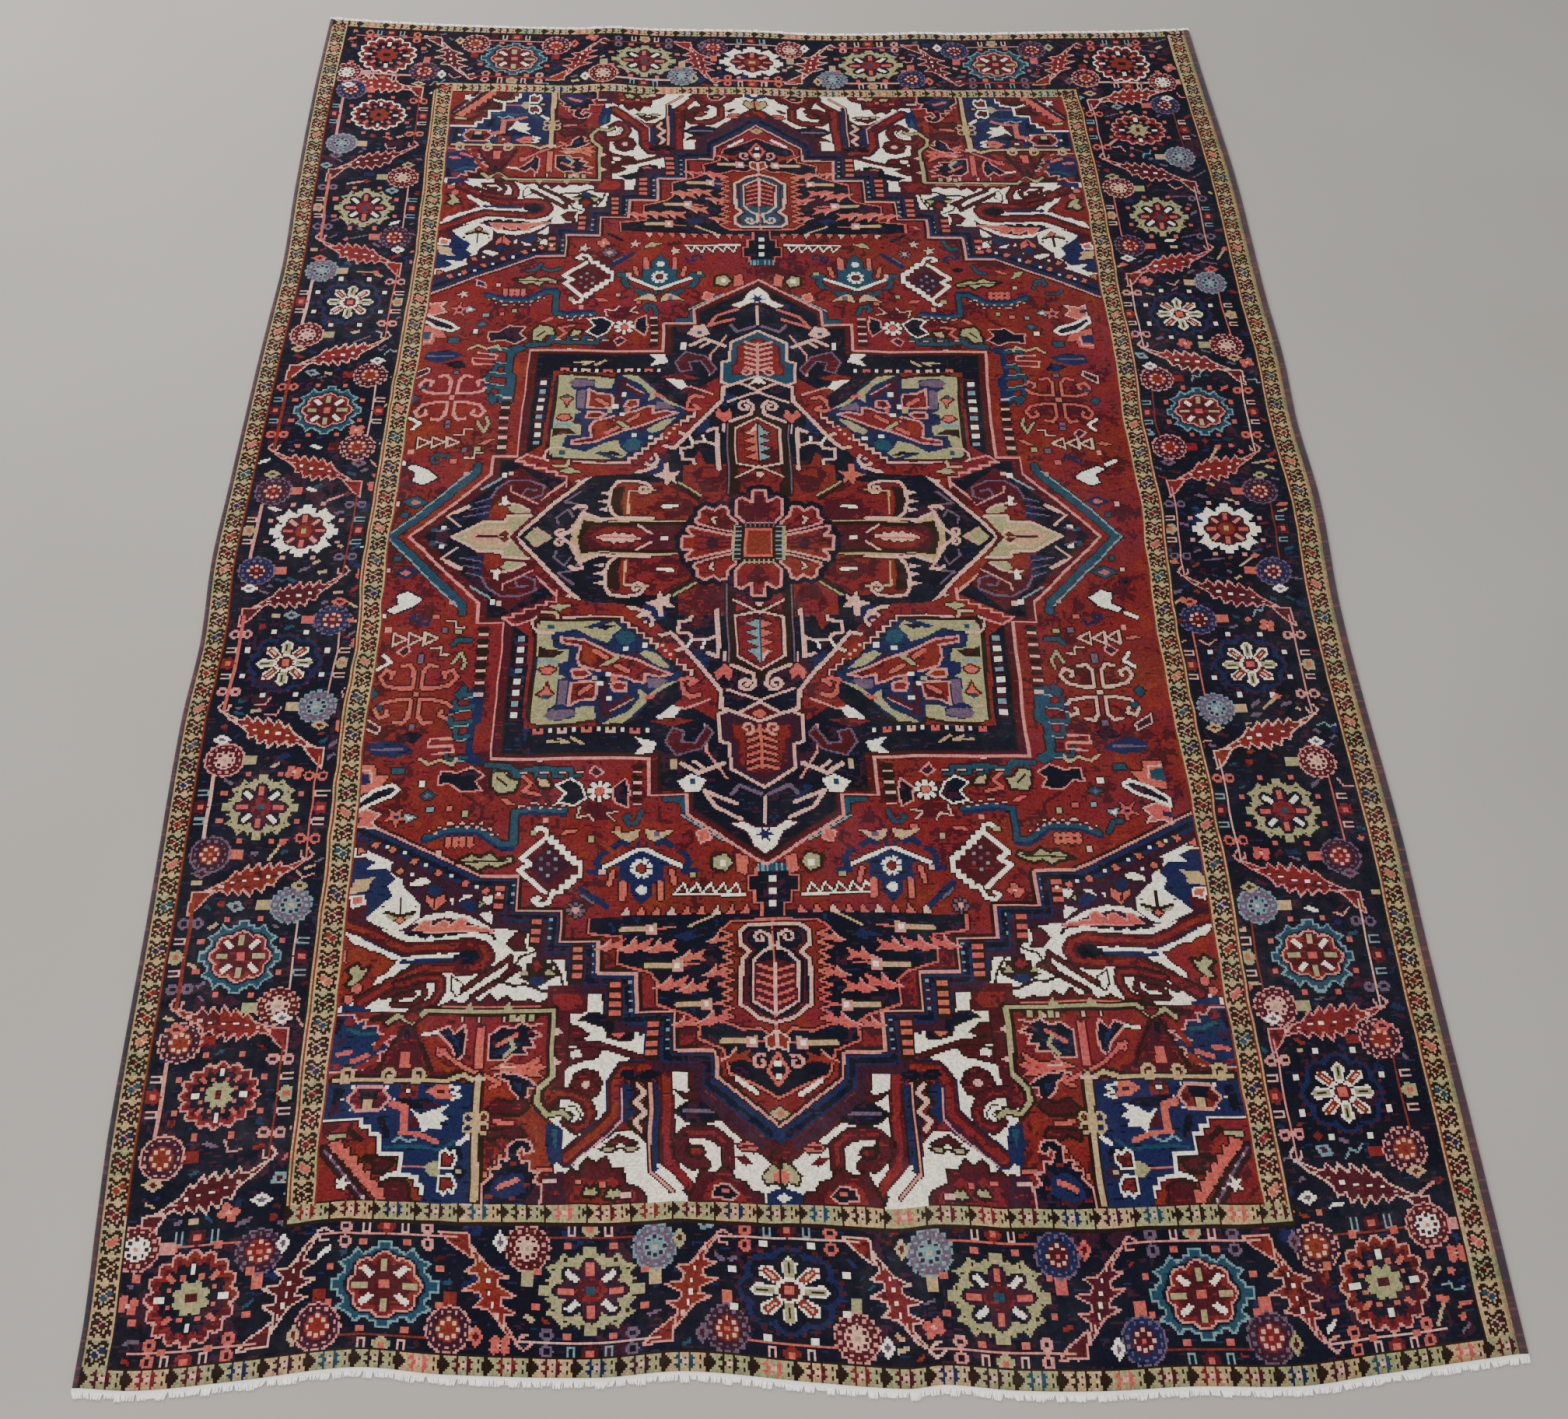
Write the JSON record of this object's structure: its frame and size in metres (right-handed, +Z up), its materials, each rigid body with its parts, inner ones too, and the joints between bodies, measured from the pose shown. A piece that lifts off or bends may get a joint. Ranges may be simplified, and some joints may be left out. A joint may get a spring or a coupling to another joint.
{
  "type": "persian rug",
  "caption": "Hand-knotted wool pile rug with overcast side edges and short cotton fringes, lying flat to cover a floor.",
  "frame": {"origin": "bottom centre of the rug's bounding box, on the floor", "axes": "+X across the rug, +Y along it towards the far end, +Z up"},
  "size_m": [2.3478, 3.488, 0.0158],
  "materials": {
    "wool_pile": "short knotted wool pile, matt with a soft sheen",
    "overcast_wool": "wool yarn wrapped over the edge warps",
    "cotton_warp": "undyed twisted cotton"
  },
  "bodies": {
    "root": {"carpet": "wool_pile", "selvedge_left": "overcast_wool", "selvedge_right": "overcast_wool", "fringe_front": "cotton_warp", "fringe_back": "cotton_warp"}
  },
  "joints": []
}
